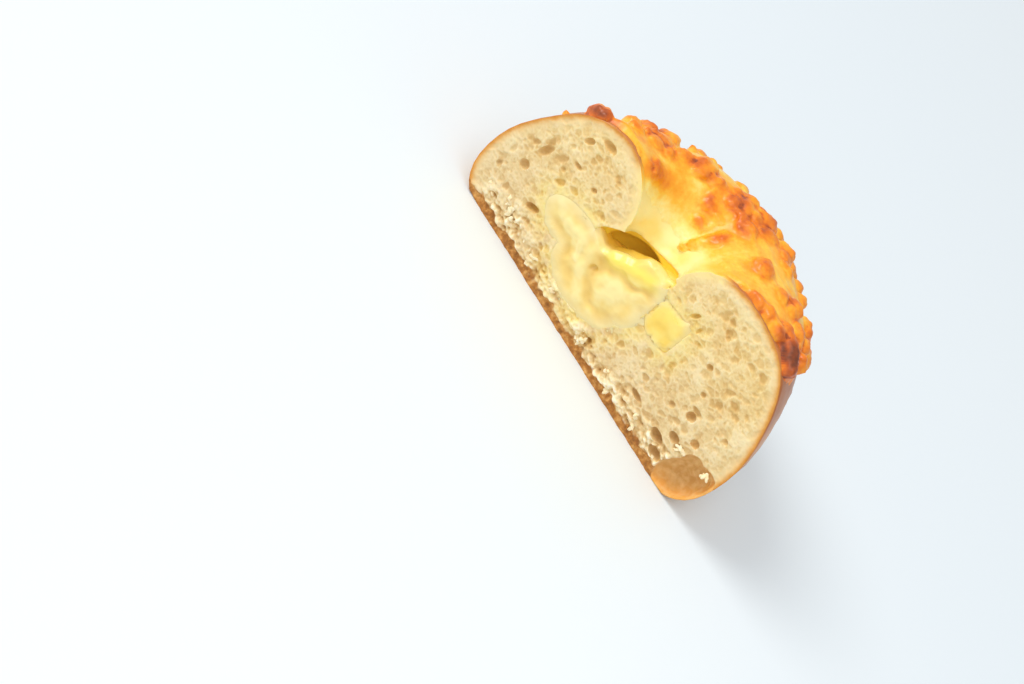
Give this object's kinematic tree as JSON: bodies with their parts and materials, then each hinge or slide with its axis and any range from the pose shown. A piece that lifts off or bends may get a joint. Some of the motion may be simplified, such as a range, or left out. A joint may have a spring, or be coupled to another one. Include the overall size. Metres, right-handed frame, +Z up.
{
  "type": "halved cheese bread roll",
  "caption": "Half of a baked cheese bread roll, cut face showing crumb, melted filling and a diced piece, with toasted cheese round a dimple on top.",
  "frame": {"origin": "on the base, under the middle of the bounding box", "axes": "+X along the cut, to the right as the cut face is seen; +Y from the cut face into the bread; +Z up"},
  "size_m": [0.0994, 0.0504, 0.053],
  "materials": {
    "bread": "baked wheat dough, golden crust and cream crumb",
    "cheese_filling": "melted processed cheese, soft and slightly glossy",
    "cheese_cube": "diced processed cheese, smooth and waxy",
    "cheese_topping": "toasted cheese, blistered and oily, yellow to dark brown"
  },
  "bodies": {
    "root": {"bread": "bread", "cheese_filling": "cheese_filling", "cheese_cube": "cheese_cube", "cheese_topping": "cheese_topping"}
  },
  "joints": []
}
